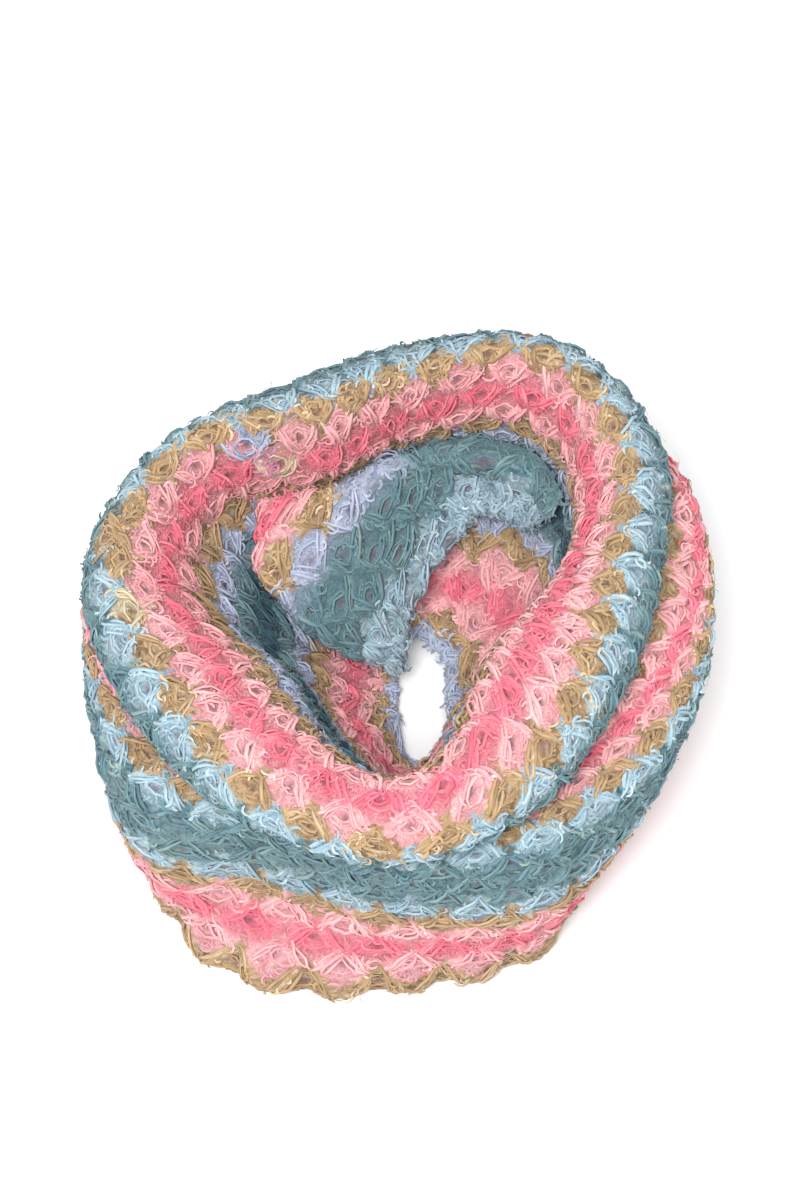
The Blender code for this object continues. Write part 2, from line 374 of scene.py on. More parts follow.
# %% [markdown]
# ## The camera and the light
# The photo looks down at the object at 58 degrees, from about a metre and a half. A long lens
# keeps the near and far sides almost the same size, as the photo does. A lamp from one side
# would leave the inside of the collar dark. So a large lamp stands close to the camera, and a
# soft sky fills the rest.

# %% Camera
IMAGE_WIDTH = 800
FOCAL_PIXELS = 3750
SENSOR_WIDTH = 36.0
LOOK_AT_HEIGHT = 45.0
CAMERA_ELEVATION = math.radians(58.0)
CAMERA_DISTANCE = 1.5
FRAME_OFFSET = (0.006, 0.0254)
forward = np.array([0, math.cos(CAMERA_ELEVATION), -math.sin(CAMERA_ELEVATION)])
upward = np.array([0, math.sin(CAMERA_ELEVATION), math.cos(CAMERA_ELEVATION)])
target = (np.array([0.0, 0.0, LOOK_AT_HEIGHT]) + ORIGIN_SHIFT) * MM
eye = target - CAMERA_DISTANCE * forward + FRAME_OFFSET[1] * upward
eye[0] += FRAME_OFFSET[0]
camera_data = bpy.data.cameras.new("camera")
camera_data.sensor_fit = "HORIZONTAL"
camera_data.sensor_width = SENSOR_WIDTH
camera_data.lens = FOCAL_PIXELS / IMAGE_WIDTH * SENSOR_WIDTH
camera_data.clip_start = 0.01
camera = bpy.data.objects.new("camera", camera_data)
camera.location = eye
camera.rotation_euler = (math.pi / 2 - CAMERA_ELEVATION, 0, 0)
bpy.context.scene.collection.objects.link(camera)
bpy.context.scene.camera = camera
print("lens", round(camera_data.lens, 1), "mm")

# %% Light
world = bpy.data.worlds.new("soft sky")
bpy.context.scene.world = world
world.use_nodes = True
sky = world.node_tree.nodes["Background"]
SKY_STRENGTH = 0.7
LAMPS_LOOK_AT = (0.0, 0.0, 0.06)
# The Standard view shows a colour as it was picked, where the default one greys it.
bpy.context.scene.view_settings.view_transform = "Standard"
sky.inputs["Color"].default_value = (1.0, 1.0, 1.0, 1.0)
sky.inputs["Strength"].default_value = SKY_STRENGTH


def soft_lamp(name, place, size, watts):
    """A square area lamp that looks at the middle of the object."""
    lamp = bpy.data.lights.new(name, "AREA")
    lamp.size = size
    lamp.energy = watts
    item = bpy.data.objects.new(name, lamp)
    item.location = place
    aim = LAMPS_LOOK_AT - place
    yaw = math.atan2(aim[1], aim[0]) - math.pi / 2
    tilt = math.atan2(math.hypot(aim[0], aim[1]), -aim[2])
    item.rotation_euler = (tilt, 0, yaw)
    bpy.context.scene.collection.objects.link(item)


soft_lamp("lamp beside the camera", np.array([-0.25, -0.95, 1.65]), 0.7, 35)
soft_lamp("lamp overhead", np.array([0.3, 0.3, 1.5]), 1.1, 5)
print("lamps:", [lamp.name for lamp in bpy.data.lights])

# %% [markdown]
# ## Colour
# The yarn is dyed in long stretches of teal, pale blue, tan, pink and rose, and the stripes
# come by themselves as it is worked. An image could carry them, but then the stitches would
# have no colour of their own. Here each stitch takes the colour of its round. A colour picked
# off a screen is an sRGB hex value, while Blender's shaders work in linear light, so one
# function turns one into the other.

# %% Colours of the yarn


def linear(hex_colour):
    """The linear colour of an sRGB hex value."""
    parts = np.array([int(hex_colour[i:i + 2], 16) for i in (1, 3, 5)]) / 255.0
    return np.where(parts <= 0.04045, parts / 12.92, ((parts + 0.055) / 1.055) ** 2.4)


# Each stretch of dye is a mix of close shades.
YARN = {
    # name        main       lighter    darker
    "teal": ("#6F9199", "#98B0A8", "#486C7C"),
    "sky": ("#A9C4D0", "#C0D3DA", "#8FAEC0"),
    "lavender": ("#B9C3DA", "#CDD5E6", "#8F9DBB"),
    "tan": ("#BE9F78", "#DCC4A2", "#927558"),
    "pink": ("#F7B6B9", "#F9C4C4", "#F1A1A9"),
    "rose": ("#F57E92", "#F89CA6", "#E86680"),
    "cream": ("#D6C8A8", "#E2D8C0", "#BFAF8C"),
    # Teal painted darker, as painted shade deep in the collar's turn into the funnel.
    "navy": ("#3C5F6E", "#587D8B", "#2B4754"),
}
YARN_NAMES = list(YARN)
SHADES = np.array([[linear(shade) for shade in shades] for shades in YARN.values()])
# The colour of each round, from the outer hem to the lip of the fold.
# Round 28, deep in the collar's turn into the funnel, takes teal painted darker as painted shade.
ROUND_YARN = (
    "tan pink rose pink tan sky teal teal teal sky "
    "tan pink rose pink tan sky teal teal teal sky "
    "tan pink rose pink tan lavender teal navy teal lavender "
    "tan pink rose pink tan lavender teal teal teal sky sky pink").split()
ROUND_INDEX = np.array([YARN_NAMES.index(name) for name in ROUND_YARN])

# Where the dye of the tube is off its stripe: azimuth and round of the middle, half the size
# in degrees and in rounds, and the colour there.
ODD_STITCHES = (
    (262, 20.4, 5, 1.1, "tan"),
    (280, 20.8, 2.5, 0.6, "cream"),
    (226, 22.6, 4, 0.8, "lavender"),
    (220, 23.3, 3, 0.7, "cream"),
    (108, 19.4, 2.5, 0.6, "cream"),
    (46, 20.4, 2.5, 0.6, "cream"),
)


def yarn_of_round(rounds):
    """The index of the yarn colour of each round; round 1 starts at the outer hem."""
    return ROUND_INDEX[np.clip(np.asarray(rounds, int) - 1, 0, len(ROUND_INDEX) - 1)]


def yarn_on_tube(azimuth, rounds):
    """The index of the yarn colour at places on the tube, odd stitches included."""
    yarn = yarn_of_round(rounds)
    for middle, round_there, half_width, half_height, name in ODD_STITCHES:
        turned = (azimuth - middle + 180) % 360 - 180
        here = (turned / half_width) ** 2 + ((rounds - round_there) / half_height) ** 2 < 1
        yarn = np.where(here, YARN_NAMES.index(name), yarn)
    return yarn


print(len(ROUND_YARN), "rounds in", len(YARN_NAMES), "colours")

# %% [markdown]
# ## Brushed mohair-blend yarn
# The yarn is a loose wool and mohair blend that was brushed, so it scatters light softly and
# has no gloss. Its fibres are about 0.04 mm, too fine to show here, so they are drawn as
# streaks of 0.5 mm that run along each ply. Real light also goes a little way into wool, but
# that is slow to render and hardly shows on strands this thin. The colour of each ply is
# painted on its points. The material reads it and adds the streaks, a cloudy change over 12 mm
# from the uneven dye, and the bright rim that fine hairs give, which is the sheen.

# %% One helper for nodes


def add_node(tree, kind, settings=None, links=None):
    """Adds one node with its settings and socket values, and links sockets to other nodes."""
    node = tree.nodes.new(kind)
    for name, value in (settings or {}).items():
        if hasattr(node, name):
            setattr(node, name, value)
        else:
            node.inputs[name].default_value = value
    for socket, output in (links or {}).items():
        tree.links.new(output, node.inputs[socket])
    return node


# %% Yarn material
# In millimetres: a streak of fibres, a clump of matted fibres, and the clouds of dye and felt.
FIBRE_STREAK = 0.5
FELT_CLUMP = 1.5
FELT_CLOUD = 3.0
DYE_CLOUD = 12.0
# The part of the noise's range that is used, and how bright its brightest places are. The same
# noise raises the bump, so its dark end is partly painted shade in the bump's grooves and pits.
STREAK_RANGE, BRIGHTEST_STREAK = (0.32, 0.66), 1.16
CLOUD_RANGE, BRIGHTEST_CLOUD = (0.3, 0.7), 1.06
# Typical for wool, with the roughness and the weak highlight that brushing leaves.
WOOL_IOR, WOOL_ROUGHNESS, WOOL_SPECULAR = 1.45, 0.9, 0.15
# A warm white rim of fine hairs.
SHEEN_TINT, SHEEN_ROUGHNESS = (1.0, 0.97, 0.94, 1.0), 0.5
BUMP_STRENGTH = 0.6


def mohair_yarn(name, streak_place, streak_scale, curl, darkest_streak_and_pit_shade, bump_depth, cloud_size,
                darkest_cloud, sheen):
    """Brushed mohair-blend yarn painted on the mesh; its bump and clouds are in millimetres."""
    material = bpy.data.materials.new(name)
    material.use_nodes = True
    tree = material.node_tree
    shader = tree.nodes["Principled BSDF"]
    place = add_node(tree, "ShaderNodeTexCoord").outputs["Object"]
    along_ply = add_node(tree, "ShaderNodeAttribute", {"attribute_name": "fibre"})
    streak_vector = along_ply.outputs["Vector"] if streak_place == "along the ply" else place
    paint = add_node(tree, "ShaderNodeVertexColor", {"layer_name": "yarn"})
    streaks = add_node(tree, "ShaderNodeTexNoise",
                       {"Scale": streak_scale, "Detail": 3.0, "Distortion": curl},
                       {"Vector": streak_vector})
    clouds = add_node(tree, "ShaderNodeTexNoise",
                      {"Scale": 1 / (cloud_size * MM), "Detail": 1.0}, {"Vector": place})
    streak_and_pit_shade = add_node(tree, "ShaderNodeMapRange",
                            {"From Min": STREAK_RANGE[0], "From Max": STREAK_RANGE[1],
                             "To Min": darkest_streak_and_pit_shade, "To Max": BRIGHTEST_STREAK},
                            {"Value": streaks.outputs["Fac"]})
    cloud_shade = add_node(tree, "ShaderNodeMapRange",
                           {"From Min": CLOUD_RANGE[0], "From Max": CLOUD_RANGE[1],
                            "To Min": darkest_cloud, "To Max": BRIGHTEST_CLOUD},
                           {"Value": clouds.outputs["Fac"]})
    shade = add_node(tree, "ShaderNodeMath", {"operation": "MULTIPLY"},
                     {0: streak_and_pit_shade.outputs["Result"], 1: cloud_shade.outputs["Result"]})
    colour = add_node(tree, "ShaderNodeVectorMath", {"operation": "SCALE"},
                      {"Vector": paint.outputs["Color"], "Scale": shade.outputs["Value"]})
    bump = add_node(tree, "ShaderNodeBump",
                    {"Strength": BUMP_STRENGTH, "Distance": bump_depth * MM},
                    {"Height": streaks.outputs["Fac"]})
    tree.links.new(colour.outputs["Vector"], shader.inputs["Base Color"])
    tree.links.new(bump.outputs["Normal"], shader.inputs["Normal"])
    finish = {"Roughness": WOOL_ROUGHNESS, "IOR": WOOL_IOR, "Specular IOR Level": WOOL_SPECULAR,
              "Sheen Weight": sheen, "Sheen Roughness": SHEEN_ROUGHNESS, "Sheen Tint": SHEEN_TINT}
    for socket, value in finish.items():
        shader.inputs[socket].default_value = value
    return material


# %% Three finishes of the same yarn
# The plied strands: streaks run along them, and they look soft and a little fuzzy.
strand_yarn = mohair_yarn("brushed mohair yarn", streak_place="along the ply",
                          streak_scale=1 / FIBRE_STREAK, curl=0.4, darkest_streak_and_pit_shade=0.8,
                          bump_depth=0.3, cloud_size=DYE_CLOUD, darkest_cloud=0.92, sheen=0.15)
# The felted fuzz between them: curly and uneven, with painted shade in the pits of its bump.
felted_yarn = mohair_yarn("matted yarn between the stitches", streak_place="object",
                          streak_scale=1 / (FELT_CLUMP * MM), curl=2.6, darkest_streak_and_pit_shade=0.66,
                          bump_depth=1.1, cloud_size=FELT_CLOUD, darkest_cloud=0.85, sheen=0.2)
# The fibres that were brushed out: thin, matt and nearly plain.
loose_yarn = mohair_yarn("loose mohair fibres", streak_place="object",
                         streak_scale=1 / (FIBRE_STREAK * MM), curl=0.0, darkest_streak_and_pit_shade=0.85,
                         bump_depth=0.1, cloud_size=DYE_CLOUD, darkest_cloud=0.92, sheen=0.12)
print("materials:", strand_yarn.name, felted_yarn.name, loose_yarn.name)

# %% [markdown]
# ## Many strands as one mesh
# Modelling a thousand fans by hand would take weeks. All strands of a stretch of cloth have the
# same number of points, so they are worked out as one array and made into one mesh. A tube
# needs a frame at each point of its path: the direction of the path, the way the cloth faces,
# and the third direction square to both.

# %% Strands


def frames(paths, normals):
    """The side and upper directions at each point of many paths, square to the path."""
    ahead = unit(np.gradient(paths, axis=-2))
    side = unit(np.cross(normals, ahead))
    return side, np.cross(ahead, side)


# A ring of points round a strand starts an eighth of a turn off the cloth, so that no edge of
# the tube points straight up.
RING_START = math.pi / 4


def strand_tubes(paths, normals, radii, sides):
    """Tubes round many paths: points, and faces as indices into them."""
    side, upper = frames(paths, normals)
    turns = np.arange(sides) * 2 * math.pi / sides + RING_START
    ring = (np.cos(turns)[:, None] * side[..., None, :]
            + np.sin(turns)[:, None] * upper[..., None, :])
    points = paths[..., None, :] + radii[..., None, None] * ring
    strands, steps = paths.shape[:2]
    index = np.arange(strands * steps * sides).reshape(strands, steps, sides)
    following = np.roll(index, -1, axis=2)
    faces = np.stack([index[:, :-1], following[:, :-1], following[:, 1:], index[:, 1:]], -1)
    return points.reshape(-1, 3), faces.reshape(-1, 4)


# %% One mesh object from arrays


def grid_faces(shape, closed):
    """Faces of a grid of points; where it is closed, its last column joins its first."""
    index = np.arange(shape[0] * shape[1]).reshape(shape)
    start = index if closed else index[:, :-1]
    following = np.roll(index, -1, axis=1) if closed else index[:, 1:]
    return np.stack([start[:-1], following[:-1], following[1:], start[1:]], -1).reshape(-1, 4)


def mesh_piece(name, points, faces, colours, material, fibre=None):
    """A mesh object in metres, in the row's frame, with its yarn colour painted on."""
    mesh = bpy.data.meshes.new(name)
    corners = faces.shape[1]
    mesh.vertices.add(len(points))
    mesh.vertices.foreach_set("co", ((points + ORIGIN_SHIFT) * MM).astype(np.float32).ravel())
    mesh.loops.add(faces.size)
    mesh.loops.foreach_set("vertex_index", faces.astype(np.int32).ravel())
    mesh.polygons.add(len(faces))
    mesh.polygons.foreach_set("loop_start", np.arange(0, faces.size, corners, dtype=np.int32))
    mesh.polygons.foreach_set("loop_total", np.full(len(faces), corners, np.int32))
    mesh.polygons.foreach_set("use_smooth", np.ones(len(faces), bool))
    mesh.update(calc_edges=True)
    paint = mesh.color_attributes.new("yarn", "FLOAT_COLOR", "POINT")
    opaque = np.concatenate([colours, np.ones((len(colours), 1))], axis=1)
    paint.data.foreach_set("color", opaque.astype(np.float32).ravel())
    if fibre is not None:
        along_ply = mesh.attributes.new("fibre", "FLOAT_VECTOR", "POINT")
        along_ply.data.foreach_set("vector", fibre.astype(np.float32).ravel())
    mesh.materials.append(material)
    item = bpy.data.objects.new(name, mesh)
    bpy.context.scene.collection.objects.link(item)
    return item


# %% [markdown]
# ## Laying yarn on the cloth
# A path is given on the cloth's own net, as places round it and rounds along it, with a height
# above the surface. A curve with a bevel could follow it, but then the plies, their colours and
# their fibres would all need curves of their own. Here each length of yarn is worked out as two
# or three soft plies twisted round its path. The tips of the plies are thinner, where they dive
# between other stitches. Each point also keeps where it is round and along its ply, in
# millimetres, with the length squeezed eight times. A noise texture read at that place is
# stretched along the ply, which draws its fibres.

# %% Plies
# Lengths in millimetres and turns in radians.
PLY_SIDES = 3
PLY_RADIUS = 0.88
# How far the plies lie from the path's middle, along the cloth and up from it.
PLY_SPREAD = 1.0
PLY_SPREAD_ALONG, PLY_SPREAD_UP = 1.2, 0.7
PLY_TWIST = (1.0, 3.6)
PLY_WAVE, PLY_WAVE_TURN = 0.45, (5, 10)
PLY_WOBBLE = 0.2
# The thickness at the tips, and how full the ply is between them.
PLY_TIP, PLY_FULLNESS = 0.4, 0.7
PLY_START, PLY_SPAN = 0.03, 0.94
FLOOR_CLEARANCE = 0.15


def plies_along(centre, normal, plies, thickness):
    """Paths of the plies twisted round each centre line, and how they taper."""
    side, upper = frames(centre, normal)
    paths, points = centre.shape[:2]
    travel = np.linspace(0, 1, points)
    phase = rng.uniform(0, 2 * math.pi, (paths, 1, 1))
    ply_turn = np.arange(plies)[None, :, None] * 2 * math.pi / plies
    twist = phase + ply_turn + rng.uniform(*PLY_TWIST, (paths, 1, 1)) * travel
    bulge = np.sin(math.pi * (travel * PLY_SPAN + PLY_START)) ** PLY_FULLNESS
    taper = PLY_TIP + (1 - PLY_TIP) * bulge
    spread = PLY_SPREAD * thickness * taper
    offset = (np.cos(twist)[..., None] * side[:, None] * PLY_SPREAD_ALONG
              + np.sin(twist)[..., None] * upper[:, None] * PLY_SPREAD_UP)
    wave = np.sin(rng.uniform(*PLY_WAVE_TURN, (paths, plies, 1)) * travel
                  + rng.uniform(0, 2 * math.pi, (paths, plies, 1)))
    ply_paths = centre[:, None] + spread[:, None] * offset
    ply_paths += PLY_WAVE * wave[..., None] * side[:, None]
    ply_paths += rng.normal(0, PLY_WOBBLE, ply_paths.shape)
    ply_paths[..., 2] = np.maximum(ply_paths[..., 2], PLY_RADIUS + FLOOR_CLEARANCE)
    return ply_paths.reshape(-1, points, 3), taper


# %% Lay yarn
PLY_THICKNESS = (0.75, 1.2)
PLY_SHADE = (0.87, 0.96)
# Shares of the plies in the main, the lighter and the darker shade of their dye.
SHADE_SHARES = (0.7, 0.12, 0.18)
# Hairs start this far out in a ply, as a share of its radius.
ROOT_DEPTH = 0.7
STREAK_STRETCH = 8.0
# Each ply reads the noise at its own place in a field this many millimetres wide.
STREAK_FIELD = 500


def fibre_places(ply_paths):
    """Where each point of each ply is, round it and along it, for the streaks."""
    plies, points = ply_paths.shape[:2]
    turns = np.arange(PLY_SIDES) * 2 * math.pi / PLY_SIDES
    ring = PLY_RADIUS * np.stack([np.cos(turns), np.sin(turns)], -1)
    places = np.zeros((plies, points, PLY_SIDES, 3))
    places[..., :2] = ring
    places[..., 2] = run_along(ply_paths)[..., None] / STREAK_STRETCH
    return (places + rng.uniform(0, STREAK_FIELD, (plies, 1, 1, 3))).reshape(-1, 3)


def lay_yarn(surface, steps, place, rounds, lift, yarn, painted_shadow_at, plies, thickness):
    """Plied yarn along many paths on a surface; arrays are (paths, points)."""
    centre = surface(place, rounds)
    normal = facing(surface, place, rounds, *steps)
    paths, points = place.shape
    centre = centre + lift[..., None] * normal
    ply_paths, taper = plies_along(centre, normal, plies, thickness)
    ply_normals = np.broadcast_to(normal[:, None], (paths, plies, points, 3))
    ply_normals = ply_normals.reshape(-1, points, 3)
    radii = PLY_RADIUS * thickness * taper * rng.uniform(*PLY_THICKNESS, (paths * plies, 1))
    mesh_points, faces = strand_tubes(ply_paths, ply_normals, radii, PLY_SIDES)
    shade_pick = rng.choice(3, (paths, plies), p=SHADE_SHARES)
    base = 0.5 * (SHADES[yarn, 0][:, None] + SHADES[yarn[:, None], shade_pick])
    base = base * rng.uniform(*PLY_SHADE, (paths, plies, 1))
    # The plies are darkened along their length by the painted shadow passed in.
    colours = (base[:, :, None] * painted_shadow_at[:, None]).reshape(-1, points, 3)
    painted = np.repeat(colours[:, :, None], PLY_SIDES, axis=2).reshape(-1, 3)
    ahead = unit(np.gradient(ply_paths, axis=1))
    roots = np.concatenate([ply_paths + radii[..., None] * ply_normals * ROOT_DEPTH, ahead,
                            ply_normals, colours], axis=-1).reshape(-1, 12)
    return mesh_points, faces, np.clip(painted, 0, 1), fibre_places(ply_paths), roots


# %% [markdown]
# ## Shell stitches
# One shell grows out of a shared tip, which points to the inner hem. Its two posts open as a V
# to the outer hem, where they lean on the neighbours' posts and make a peak. Between them the
# yarn goes round in a loop, which makes a soft knob with a small dark hole. The next round's
# shells sit half a fan further round, so the colours meet in a zigzag. A single modelled shell
# could be copied over the cloth, but every copy would show. The yarn is uneven, so each piece
# of it gets its own length, height and lean.

# %% Shells
# Lengths along the tube are in rounds and widths are in fans, but heights are in millimetres.
TIP = 0.36
POST_SPREAD = 0.46
POST_LENGTH = 1.42
POST_HEIGHT = 2.35
POST_POINTS = 6
LONGEST_PART = 1.1
# The second strand of a post starts later, is shorter and lies a little inside the first.
STRAND_LATER, STRAND_SHORTER, STRAND_INSIDE = 0.12, 0.16, 0.075
LOOP_CENTRE = -0.42
LOOP_HALF_WIDTH = 0.2
LOOP_HALF_LENGTH = 0.36
LOOP_HEIGHT = 1.5
LOOP_POINTS = 9
LOOP_THICKNESS = 0.9
SHELL_PLIES = 2
# Painted shadow: each piece of yarn starts darkened to this share, where it dives under its
# neighbours, and comes out of it over a quarter of its run.
TIP_PAINTED_SHADOW, TIP_SHARE = 0.84, 0.25
# A post opens fast at its tip and then runs straight, and it arches up from end to end.
POST_CURVE = 0.8
ARCH_SPAN, ARCH_START, ARCH_FOOT = 0.93, 0.05, 0.2
# The loop starts and ends past a full turn, in radians, and stands higher on its far side.
LOOP_START, LOOP_OVERLAP, LOOP_TILT = -0.5, 0.3, 0.3
# How uneven the stitches are: along the tube in rounds, across it in fans, and in millimetres.
UNEVEN_START, UNEVEN_LENGTH = 0.04, 0.05
UNEVEN_LEAN, UNEVEN_LOOP, UNEVEN_LOOP_PLACE = 0.03, 0.015, 0.02
UNEVEN_HEIGHT, UNEVEN_LOOP_HEIGHT = 0.35, 0.2


def post_arch(part):
    """How high a post stands at a part of its length, as a share of its height."""
    return np.sin(math.pi * np.clip(part * ARCH_SPAN + ARCH_START, 0, 1))


def join(parts):
    """One set of points, faces, colours, fibre places and hair roots from several."""
    piles = [[], [], [], [], []]
    count = 0
    for part in parts:
        for pile, item in zip(piles, part):
            pile.append(item)
        piles[1][-1] = part[1] + count
        count += len(part[0])
    return tuple(np.concatenate(pile) for pile in piles)


def shell_paths(count):
    """The yarn of each of count shells, as (place, round, height, thickness) for each piece."""

    def jitter(size):
        return rng.normal(0, size, (count, 1))

    travel = np.linspace(0, 1, POST_POINTS)
    for side in (-1, 1):
        for strand in (0, 1):
            start = STRAND_LATER * strand + jitter(UNEVEN_START)
            part = start + (1 - STRAND_SHORTER * strand + jitter(UNEVEN_LENGTH)) * travel
            part = np.clip(part, 0, LONGEST_PART)
            opening = (POST_SPREAD + jitter(UNEVEN_LEAN)) * part ** POST_CURVE
            lean = side * (opening - STRAND_INSIDE * strand) + jitter(UNEVEN_LEAN)
            lean = lean + jitter(UNEVEN_LEAN) * np.sin(math.pi * travel)
            ahead = TIP + jitter(UNEVEN_START) - POST_LENGTH * part
            rise = ARCH_FOOT + (POST_HEIGHT + jitter(UNEVEN_HEIGHT)) * post_arch(travel)
            yield lean, ahead, rise, 1.0
    turn = np.linspace(LOOP_START, 2 * math.pi + LOOP_OVERLAP, LOOP_POINTS)
    across = (LOOP_HALF_WIDTH + jitter(UNEVEN_LOOP)) * np.sin(turn)
    centre = LOOP_CENTRE + jitter(UNEVEN_START)
    ahead = centre + (LOOP_HALF_LENGTH + jitter(UNEVEN_LEAN)) * np.cos(turn)
    across = across + jitter(UNEVEN_LOOP_PLACE)
    rise = LOOP_HEIGHT + jitter(UNEVEN_LOOP_HEIGHT) + LOOP_TILT * np.cos(turn)
    yield across, ahead, rise, LOOP_THICKNESS


def shells(surface, steps, keep_on, place, rounds, pitch, yarn):
    """Shells at places on the rounds; all arrays are one long."""
    place = place + rng.normal(0, UNEVEN_START, len(place)) * pitch
    parts = []
    for across, ahead, rise, thickness in shell_paths(len(place)):
        at, number = keep_on(place[:, None] + pitch[:, None] * across,
                             rounds[:, None] + ahead)
        # Painted shadow where each piece starts under the neighbouring stitches.
        leaving = np.clip(np.linspace(0, 1 / TIP_SHARE, at.shape[1]), 0, 1)
        shade = TIP_PAINTED_SHADOW + (1 - TIP_PAINTED_SHADOW) * leaving
        parts.append(lay_yarn(surface, steps, at, number, rise, yarn, shade, SHELL_PLIES,
                              thickness))
    return join(parts)


print("each shell: four strands and a loop, of", SHELL_PLIES, "plies each")

# %% [markdown]
# ## All rounds of the tube
# Thirty shells go round the wall and the collar. Down the funnel the cloth is gathered into
# creases that hide half of it, so only as many are laid as fit at their real width. One mesh
# for them all would be too heavy to work with, so they are sorted into pieces by the plain
# node that they lie on.

# %% Places on the tube
TUBE_STEPS = (SLOPE_STEP, SLOPE_STEP)
# On the slumped tube a fan is a little narrower than on the flat one.
SHELL_WIDTH = 21.0
FEWEST_FANS = 6
FIRST_PLACE, LAST_PLACE = 0.12, TUBE_END - 0.1


def on_tube(azimuth, number):
    """Places kept on the tube, just inside its two hems."""
    return azimuth, np.clip(number, FIRST_PLACE, LAST_PLACE)


def tube_places():
    """Where the shells of the tube sit: azimuth, round, and pitch in degrees."""
    places, rounds, pitches = [], [], []
    turn = np.linspace(0, 360, 361)
    for number in range(1, round(TUBE_END) + 1):
        run = run_along(cloth(turn, float(number)))
        fans = FANS_AROUND
        if number > COLLAR_END:
            fans = max(FEWEST_FANS, round(run[-1] / SHELL_WIDTH))
        share = (np.arange(fans) + 0.5 * (number % 2)) / fans
        azimuth = share * 360
        if number > COLLAR_END:
            azimuth = np.interp(share * run[-1], run, turn)
        places.append(azimuth)
        rounds.append(np.full(fans, number))
        ahead = np.diff(np.concatenate([azimuth, azimuth[:1] + 360]))
        pitches.append((ahead + np.roll(ahead, 1)) / 2)
    return np.concatenate(places), np.concatenate(rounds), np.concatenate(pitches)


place, number, pitch = tube_places()
print(len(place), "shells on the tube")

# %% Lay the tube's rounds
SHELL_MIDDLE = 0.4
lies_at = number - SHELL_MIDDLE + shift(place, number - SHELL_MIDDLE)
STITCH_BANDS = (
    # piece               lowest and highest place   node it lies on
    ("wall_stitches_low", 0, 8.2, "outer_wall"),
    ("wall_stitches_high", 8.2, WALL_END, "outer_wall"),
    ("collar_stitches_outer", WALL_END, 22.2, "rolled_collar"),
    ("collar_stitches_inner", 22.2, COLLAR_END, "rolled_collar"),
    ("funnel_stitches", COLLAR_END, TUBE_END, "inner_funnel"),
)
stitches = {}
hair_roots = {}
for name, low, high, node in STITCH_BANDS:
    here = (lies_at > low) & (lies_at <= high)
    points, faces, colours, fibre, roots = shells(cloth, TUBE_STEPS, on_tube, place[here],
                                                  number[here], pitch[here],
                                                  yarn_on_tube(place[here], number[here]))
    piece = mesh_piece(name, points, faces, colours, strand_yarn, fibre)
    stitches.setdefault(node, []).append(piece)
    hair_roots[name] = roots
    print(name, here.sum(), "shells,", 2 * len(faces), "triangles")

# %% [markdown]
# ## Shells on the fold
# The fold is cloth of the same rounds, seen from its right side. It is about six fans wide. It
# could be covered from the tube's own rounds, but it lies over them, so it has its own net. Its
# upper rounds go under the collar, so a shell is laid only where the fold has that round.

# %% Shells on the fold
FOLD_STEPS = (0.004, 0.05)
FOLD_FANS = 6.5
FOLD_FIRST, FOLD_LAST = 32, 41
FOLD_MARGIN, SIDE_MARGIN = 0.08, 0.01
SHELL_ROOM = 0.6
fold_columns = np.linspace(0, 1, FOLD_ROUNDS.shape[0])
places, rounds = [], []
for row in range(FOLD_FIRST, FOLD_LAST + 1):
    across = (np.arange(-1, math.ceil(FOLD_FANS) + 1) + 0.5 * (row % 2)) / FOLD_FANS
    across = across[(across >= 0) & (across <= 1.0)]
    top_round = np.interp(across, fold_columns, FOLD_ROUNDS[:, 0])
    across = across[top_round < row - SHELL_ROOM]
    places.append(across)
    rounds.append(np.full(len(across), row))
places, rounds = np.concatenate(places), np.concatenate(rounds)


def on_fold(across, number):
    """Places kept on the fold, just inside its edges."""
    across = np.clip(across, SIDE_MARGIN, 1 - SIDE_MARGIN)
    first = np.interp(across, fold_columns, FOLD_ROUNDS[:, 0]) + FOLD_MARGIN
    last = np.interp(across, fold_columns, FOLD_ROUNDS[:, -1]) - FOLD_MARGIN
    return across, np.clip(number, first, last)


points, faces, colours, fibre, roots = shells(fold_by_round, FOLD_STEPS, on_fold, places,
                                              rounds, np.full(len(places), 1 / FOLD_FANS),
                                              yarn_of_round(rounds))
hair_roots["fold_stitches"] = roots
stitches["lapped_fold"] = [mesh_piece("fold_stitches", points, faces, colours, strand_yarn,
                                      fibre)]
print("fold:", len(places), "shells,", 2 * len(faces), "triangles")

# %% [markdown]
# ## Edges
# Both hems and the free edges of the fold end in one more cord of yarn, worked from stitch to
# stitch in small scallops. One long strand would look like a rope, so it is laid as short
# overlapping lengths, each in the colour of the round beside it.

# %% Edges
EDGE_POINTS = 7
EDGE_PLIES = 3
EDGE_THICKNESS = 0.95
EDGE_FOOT, EDGE_RISE, EDGE_UNEVEN = 0.6, 0.9, 0.15
EDGE_OVERLAP = 0.1
EDGES = (
    # node, place and round where the cord starts and ends, and the yarn of each short length
    ("outer_wall", (0, 0.3), (360, 0.3), 60 * ["tan"]),
    ("inner_funnel", (0, 35.8), (360, 35.8), 16 * ["lavender"]),
    ("lapped_fold", (0.02, 40.9), (0.98, 40.9), 14 * ["sky"]),
    ("lapped_fold", (0.975, 33.2), (0.975, 41), 3 * ["tan"] + 6 * ["sky"] + 3 * ["lavender"]),
    ("lapped_fold", (0.015, 38.6), (0.015, 40.95), 2 * ["teal"] + 2 * ["sky"]),
)


